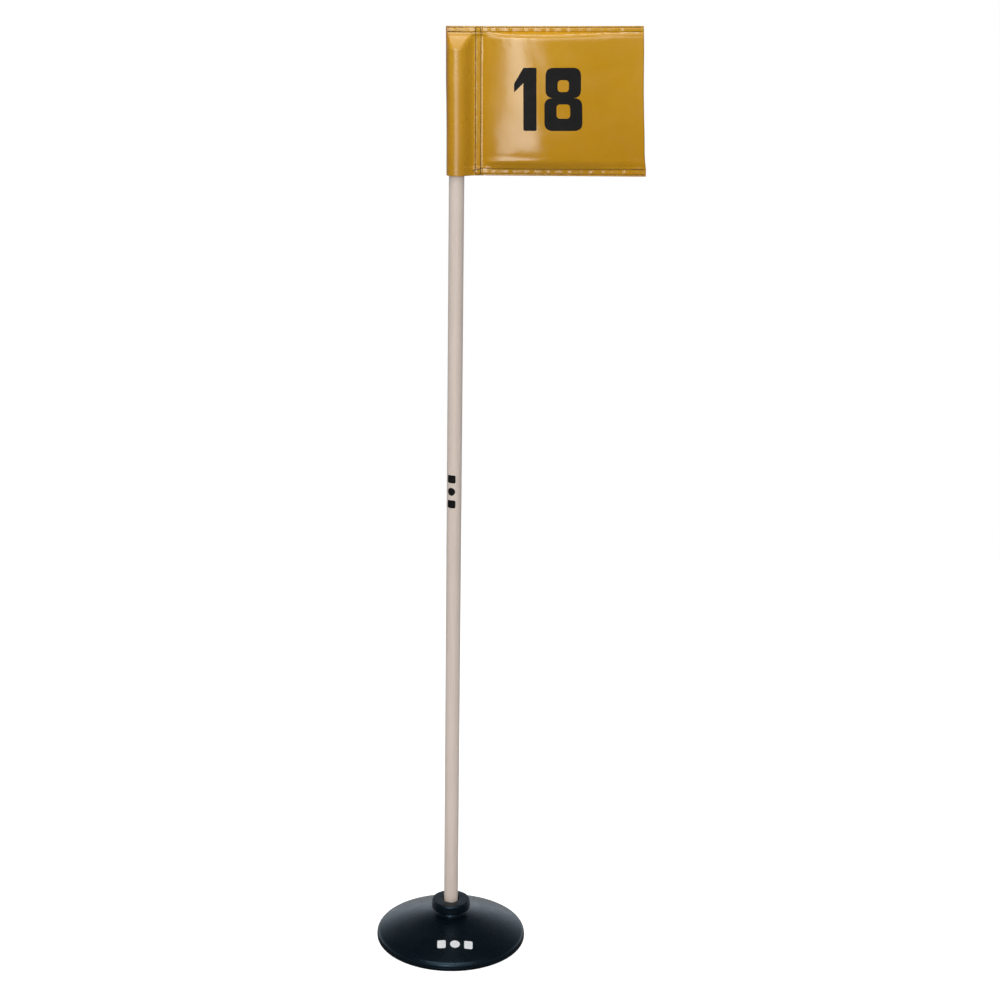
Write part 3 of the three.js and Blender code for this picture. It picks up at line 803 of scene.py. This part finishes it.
def flag_vinyl():
    """The sheet as one surface: each row's path in plan, with the hems turned in, thickened."""
    grid = []
    for z, inset in hem_rows():
        x, y = flag_section(z)
        along = np.stack([np.gradient(x), np.gradient(y)])
        along /= np.linalg.norm(along, axis=0)
        grid.append(hang(x + inset * along[1], y - inset * along[0], np.full_like(x, z)))
    verts, faces = thicken(np.array(grid), SHEET)
    return add_mesh("flag_vinyl", verts, faces, VINYL, "flag", ["flag_sheet"], sharp=60)


# -------------------- stitching

STITCH = 2.8  # length
HEM_THREAD_R, SLEEVE_THREAD_R = 0.24, 0.33
THREAD_SIDES, THREAD_RINGS = 8, 9
THREAD_SINK, THREAD_RISE = 0.28, 0.42  # how deep a stitch starts in the vinyl, and its rise between holes
OVERSEW_SHIFT = 0.24  # how far a second pass lies beside the first


def walk(path, step, start=0.0, end=None):
    """Points at equal steps along a path of (x, z) corners, between two distances along it."""
    path = np.array(path, float)
    lengths = np.linalg.norm(np.diff(path, axis=0), axis=1)
    at = np.concatenate([[0], np.cumsum(lengths)])
    end = at[-1] if end is None else end
    count = max(2, int(round((end - start) / step)) + 1)
    where = np.linspace(start, end, count)
    return np.stack([np.interp(where, at, path[:, 0]), np.interp(where, at, path[:, 1])], axis=1)


def stitches(holes, front, thread_r, shift=0.0):
    """Points and faces of a run of stitches that dip into the vinyl at each hole."""
    rings, sides = THREAD_RINGS, THREAD_SIDES
    verts, faces = [], []
    side = -1.0 if front else 1.0
    for number, (start, end) in enumerate(zip(holes[:-1], holes[1:])):
        along = (end - start) / np.linalg.norm(end - start)
        across = np.array([-along[1], along[0]])
        wander = 0.05 * math.sin(2.4 * number) + shift
        t = np.linspace(0.03, 0.97, rings)
        middle = start + (end - start) * t[:, None] + across * wander
        lift = SHEET / 2 - THREAD_SINK + THREAD_RISE * np.sin(math.pi * t) ** 0.6
        depth = face_depth(middle[:, 0], middle[:, 1], front) + lift
        radius = thread_r * (0.75 + 0.25 * np.sin(math.pi * t))
        first = len(verts)
        for i in range(rings):
            for k in range(sides):
                a = 2 * math.pi * k / sides
                flat = middle[i] + across * radius[i] * math.cos(a)
                verts.append(hang(flat[0], side * (depth[i] + 0.8 * radius[i] * math.sin(a)), flat[1]))
        for i in range(rings - 1):
            for k in range(sides):
                m = (k + 1) % sides
                a, b = first + i * sides, first + (i + 1) * sides
                faces.append([a + k, a + m, b + m, b + k])
        faces.append([first + k for k in range(sides)])
        faces.append([first + (rings - 1) * sides + k for k in range(sides)][::-1])
    return verts, faces


def stitch_rows():
    """Each row's corners, and the lengths at its start and end that are sewn twice over."""
    top, bottom = FLAG_TOP - 0.8, FLAG_BOTTOM + 0.9
    right = FLY_X - 2.6
    left = FOLD_X + 1.2
    top_edge, top_hem, bottom_hem, bottom_edge = STITCH_Z.values()
    corners = {
        "top_edge": [(left, top_edge), (right, top_edge)],
        "top_hem": [(left, top_hem + 0.4), (left + 17, top_hem), (right, top_hem)],
        "sleeve_inner": [(SEAM_X, bottom), (SEAM_X, top)],
        "sleeve_outer": [(SEAM_OUTER_X, bottom), (SEAM_OUTER_X, top)],
        "bottom_hem": [(15.6, bottom_hem - 2.6), (SEAM_OUTER_X + 1, bottom_hem), (right + 1, bottom_hem)],
        "bottom_edge": [(SEAM_X, bottom_edge - 0.5), (60.0, bottom_edge), (right + 1, bottom_edge)],
    }
    sewn_twice = {
        "top_edge": (16.0, 6.0),
        "top_hem": (16.0, 9.0),
        "sleeve_inner": (12.0, 5.0),
        "sleeve_outer": (14.0, 5.0),
        "bottom_hem": (13.0, 15.0),
        "bottom_edge": (12.0, 12.0),
    }
    return {row: (path, *sewn_twice[row]) for row, path in corners.items()}


def stitching():
    made = []
    for row, (path, double_start, double_end) in stitch_rows().items():
        length = np.linalg.norm(np.diff(np.array(path), axis=0), axis=1).sum()
        thread_r = SLEEVE_THREAD_R if row.startswith("sleeve") else HEM_THREAD_R
        for kind, front in (("needle", True), ("bobbin", False)):
            verts, faces = stitches(walk(path, STITCH), front, thread_r)
            for start, end in ((0.9, double_start), (length - double_end, length - 0.7)):
                again = walk(path, STITCH, start, end)
                append_part(verts, faces, stitches(again, front, thread_r, OVERSEW_SHIFT))
            name = f"{row}_{kind}"
            made.append(add_mesh(f"{name}_stitches", verts, faces, THREAD, "flag",
                                 [f"{name}_thread"]))
    return made


# -------------------- printed marks

INK = 0.05  # how far the ink stands off the surface


def rounded(corners, radius, steps=6):
    """The outline of a convex shape with its corners rounded, each by its own radius."""
    corners = np.array(corners, float)
    outline = []
    for i, corner in enumerate(corners):
        r = radius[i] if isinstance(radius, (list, tuple)) else radius
        before, after = corners[i - 1] - corner, corners[(i + 1) % len(corners)] - corner
        before, after = before / np.linalg.norm(before), after / np.linalg.norm(after)
        if r == 0:
            outline.append(corner)
            continue
        start, end = corner + before * r, corner + after * r
        for t in np.linspace(0, 1, steps):
            outline.append((1 - t) ** 2 * start + 2 * t * (1 - t) * corner + t * t * end)
    return np.array(outline)


def dense(outline, step):
    """The outline with points added so that no side is longer than step."""
    made = []
    for a, b in zip(outline, np.roll(outline, -1, axis=0)):
        count = max(1, int(math.ceil(np.linalg.norm(b - a) / step)))
        made += [mix(a, b, i / count) for i in range(count)]
    return np.array(made)


def printed(outlines, place, step=1.5):
    """Points and faces of thin ink shapes, laid on a surface by place(a, b)."""
    verts, faces = [], []
    for outline in outlines:
        outline = dense(np.array(outline), step)
        centre = outline.mean(axis=0)
        rings = max(2, int(np.linalg.norm(outline - centre, axis=1).max() / step))
        count, first = len(outline), len(verts)
        verts.append(place(*centre))
        for ring in range(1, rings + 1):
            verts += [place(*mix(centre, point, ring / rings)) for point in outline]
        for k in range(count):
            m = (k + 1) % count
            faces.append([first, first + 1 + k, first + 1 + m])
            for ring in range(rings - 1):
                a = first + 1 + ring * count
                faces.append([a + k, a + count + k, a + count + m, a + m])
    return verts, faces


def figure_one(left, height, stem, flag_width):
    """A bold figure one in two convex parts that meet edge to edge: a stem and a slanting flag."""
    top, low = height / 2, -height / 2
    inner, outer = left + flag_width, left + flag_width + stem
    stroke = rounded([(inner, top), (outer, top), (outer, low), (inner, low)], [0, 1.5, 1.5, 1.5])
    flag_low = top - 1.35 * stem
    corners = [(left, flag_low + 2.0), (inner, top), (inner, flag_low + 2.5), (left, flag_low - 7.0)]
    slant = rounded(corners, [1.0, 0, 0, 1.0])
    return [stroke, slant]


def loop(left, right, low, high, corner, steps=8, side=12):
    """A rounded rectangle with a fixed number of points to each corner and side."""
    turns = rounded([(right, high), (left, high), (left, low), (right, low)], corner, steps)
    made = []
    for k in range(4):
        start, end = turns[k * steps + steps - 1], turns[(k + 1) * steps % (4 * steps)]
        made += list(turns[k * steps:(k + 1) * steps])
        made += [mix(start, end, t) for t in np.linspace(0, 1, side + 2)[1:-1]]
    return np.array(made)


def figure_eight(left, right, height, stroke):
    """A bold figure eight as two rings that meet edge to edge: (outer, inner) outlines."""
    top, low, waist = height / 2, -height / 2, 0.02 * height
    rings = []
    for bottom, ceiling, inset in ((waist, top, 1.2), (low, waist, 0.0)):
        bars = stroke / 2 if ceiling == waist else stroke, stroke / 2 if bottom == waist else stroke
        outer = loop(left + inset, right - inset, bottom, ceiling, 8.5)
        sides = left + inset + stroke, right - inset - stroke
        inner = loop(*sides, bottom + bars[1], ceiling - bars[0], 4.0)
        rings.append((outer, inner))
    return rings


def printed_rings(rings, place, rows=9):
    """Points and faces of thin ink rings, laid on a surface by place(a, b)."""
    verts, faces = [], []
    for outer, inner in rings:
        first, count = len(verts), len(outer)
        for t in np.linspace(0, 1, rows):
            verts += [place(*mix(a, b, t)) for a, b in zip(outer, inner)]
        for row in range(rows - 1):
            for k in range(count):
                a, m = first + row * count, (k + 1) % count
                faces.append([a + k, a + m, a + count + m, a + count + k])
    return verts, faces


def dot_between_bars(length, height):
    """A generic mark: a disc between two upright bars."""
    bar = 0.24 * length
    ends = []
    for left in (-length / 2, length / 2 - bar):
        box = [(left, -height / 2), (left + bar, -height / 2), (left + bar, height / 2), (left, height / 2)]
        ends.append(rounded(box, 0.22 * bar))
    radius = 0.46 * height
    angles = np.linspace(0, 2 * math.pi, 49)[:-1]
    disc = [(radius * math.cos(a), radius * math.sin(a)) for a in angles]
    return ends + [np.array(disc)]


def print_flag_number():
    """A generic hole number, 18, on the flag's front."""
    centre_x, centre_z = 93.5, FLAG_TOP - 73.0
    width, height, stroke = 70.0, 64.0, 13.5
    slant_width, eight_left = 9.5, 31.0

    def place(a, b):
        x, z = centre_x + a, centre_z + b
        return hang(x, -(float(face_depth(x, z, True)) + SHEET / 2 + INK), z)

    verts, faces = printed(figure_one(-width / 2, height, stroke, slant_width), place)
    eight = figure_eight(-width / 2 + eight_left, width / 2, height, stroke - 1.0)
    append_part(verts, faces, printed_rings(eight, place))
    return add_mesh("hole_number", verts, faces, BLACK_INK, "flag")


def print_stick_mark():
    """The generic mark, upright on the stick and turned to the left."""
    centre_z, turn = 538.0, math.radians(-24.0)

    def place(a, b):
        angle = turn - math.pi / 2 + b / STICK_R
        r = STICK_R + INK
        return r * math.cos(angle), r * math.sin(angle), centre_z + a

    verts, faces = printed(dot_between_bars(37.0, 9.6), place, 1.0)
    return add_mesh("stick_mark", verts, faces, BLACK_INK, "stick")


def print_base_mark():
    """The generic mark on the dome's front slope."""
    _, slope, _ = dome_outline()
    radii, heights = np.array(slope).T
    centre_x, centre_y = 4.9, -56.6
    tilt = math.radians(19.0)

    def place(a, b):
        x, y = centre_x + a, centre_y + b * math.cos(tilt)
        r = math.hypot(x, y)
        z = np.interp(r, radii[::-1], heights[::-1]) + INK * math.cos(tilt)
        out = 1.0 + INK * math.sin(tilt) / r
        return x * out, y * out, z

    verts, faces = printed(dot_between_bars(40.0, 12.0), place, 1.0)
    return add_mesh("base_mark", verts, faces, WHITE_INK, "base")


# -------------------- studio

# From here on, lengths are in metres.
FLOOR_REACH = 1.7
FLOOR_GLOW = 0.80  # seen by the camera alone
FLOOR_PALE, FLOOR_DIM = (0.82,) * 3, (0.10,) * 3
DIM_FROM_Y, DIM_FULL_Y = 0.12, -0.02  # reflections of the floor grow dim between these


def white_floor():
    """A pale round floor. Reflections see it grow dim across the base, and stay dim in front of it."""
    mesh = bpy.data.meshes.new("floor")
    around = np.radians(np.arange(0, 360, 5))
    edge = [(FLOOR_REACH * math.cos(a), FLOOR_REACH * math.sin(a), 0) for a in around]
    mesh.from_pydata(edge, [], [range(len(edge))])
    look = Look("floor_white", Roughness=0.9, Specular_IOR_Level=0.1, Emission_Color=(1, 1, 1, 1))
    ray = look.nodes.new("ShaderNodeLightPath").outputs
    glow = look.maths("MULTIPLY", ray["Is Camera Ray"], FLOOR_GLOW)
    look.links.new(glow, look.shader.inputs["Emission Strength"])
    look.place = look.nodes.new("ShaderNodeNewGeometry").outputs["Position"]
    dimmed = look.maths("MULTIPLY", look.along("Y", DIM_FROM_Y, DIM_FULL_Y), ray["Is Glossy Ray"])
    look.colour(look.blend(dimmed, FLOOR_PALE, FLOOR_DIM))
    mesh.materials.append(look.material)
    link_object("floor", mesh)


def softbox(name, place, target, width, height, power):
    """A rectangular light that faces the target and isn't seen itself."""
    data = bpy.data.lights.new(name, "AREA")
    data.shape = "RECTANGLE"
    data.size, data.size_y = width, height
    data.energy = power
    light = link_object(name, data)
    light.location = place
    light.rotation_euler = (Vector(target) - Vector(place)).to_track_quat("-Z", "Y").to_euler()
    light.visible_camera = False
    return light


def studio_sky():
    """White near the horizon and dim overhead, as in a white studio with the ceiling unlit.

    The camera sees plain white, and the studio is brighter behind the object than in front of it.
    """
    world = bpy.data.worlds.new("studio")
    world.use_nodes = True
    nodes, links = world.node_tree.nodes, world.node_tree.links
    nodes.clear()
    direction = nodes.new("ShaderNodeTexCoord")
    parts = nodes.new("ShaderNodeSeparateXYZ")
    links.new(direction.outputs["Generated"], parts.inputs[0])
    ramp = nodes.new("ShaderNodeValToRGB")
    height = nodes.new("ShaderNodeMapRange")
    height.inputs["From Min"].default_value = -1.0
    links.new(parts.outputs["Z"], height.inputs["Value"])
    links.new(height.outputs["Result"], ramp.inputs["Fac"])
    stops = ((0.0, 0.3), (0.46, 0.3), (0.52, 1.55), (0.60, 1.05), (0.73, 0.24), (0.86, 0.06), (1.0, 0.03))
    while len(ramp.color_ramp.elements) < len(stops):
        ramp.color_ramp.elements.new(0.5)
    for element, (place, level) in zip(ramp.color_ramp.elements, stops):
        element.position = place
        element.color = (0.88 * level, 0.97 * level, 1.06 * level, 1)
    lit = nodes.new("ShaderNodeBackground")
    links.new(ramp.outputs["Color"], lit.inputs["Color"])
    behind = nodes.new("ShaderNodeMapRange")
    behind.inputs["From Min"].default_value = -0.1
    behind.inputs["From Max"].default_value = 0.7
    behind.inputs["To Min"].default_value = 0.25
    links.new(parts.outputs["Y"], behind.inputs["Value"])
    links.new(behind.outputs["Result"], lit.inputs["Strength"])
    seen = nodes.new("ShaderNodeBackground")
    seen.inputs["Color"].default_value = (1, 1, 1, 1)
    path = nodes.new("ShaderNodeLightPath")
    choice = nodes.new("ShaderNodeMixShader")
    links.new(path.outputs["Is Camera Ray"], choice.inputs["Fac"])
    links.new(lit.outputs[0], choice.inputs[1])
    links.new(seen.outputs[0], choice.inputs[2])
    output = nodes.new("ShaderNodeOutputWorld")
    links.new(choice.outputs[0], output.inputs["Surface"])
    bpy.context.scene.world = world


def camera():
    """A camera a little above the flag's top, tilted down at the object."""
    data = bpy.data.cameras.new("camera")
    data.sensor_width = 36.0
    data.lens = 73.26
    data.shift_x = 0.0459
    data.clip_end = 60.0
    made = link_object("camera", data)
    distance, height = 2.120, 1.157
    pitch, roll = math.radians(16.56), math.radians(0.45)
    turn = Matrix.Rotation(math.pi / 2 - pitch, 4, "X") @ Matrix.Rotation(roll, 4, "Z")
    made.matrix_world = Matrix.Translation((0, -distance, height)) @ turn
    bpy.context.scene.camera = made


camera()
white_floor()
studio_sky()
# The tall highlight on the flag, the general light, the light on top, the sheen along the base's
# rounds, and a fill for the back
softbox("front_left", (-0.31, -2.75, 1.30), (-0.31, 0.0, 1.30), 0.82, 2.0, 28.0)
softbox("front_top", (0.0, -1.6, 3.25), (0.0, 0.0, 0.6), 3.2, 2.2, 43.0)
softbox("overhead", (-0.25, -0.47, 2.60), (-0.25, -0.47, 0.0), 1.2, 0.4, 13.5)
softbox("front_wide", (0.0, -2.6, 1.62), (0.0, 0.0, 0.03), 3.4, 0.7, 20.0).visible_diffuse = False
fill = softbox("behind", (0.30, 2.75, 1.3), (0.10, 0.0, 1.0), 0.5, 1.2, 1.4)
fill.visible_glossy = False
fill.data.spread = math.radians(45.0)
bpy.context.scene.view_settings.view_transform = "Standard"

base_moulding()
collar_ring()
socket_cup()
ground_pad()
finish_cad_metal()
stick_rod()
end_plugs()
flag = flag_vinyl()
threads = stitching()
number = print_flag_number()
print_stick_mark()
print_base_mark()
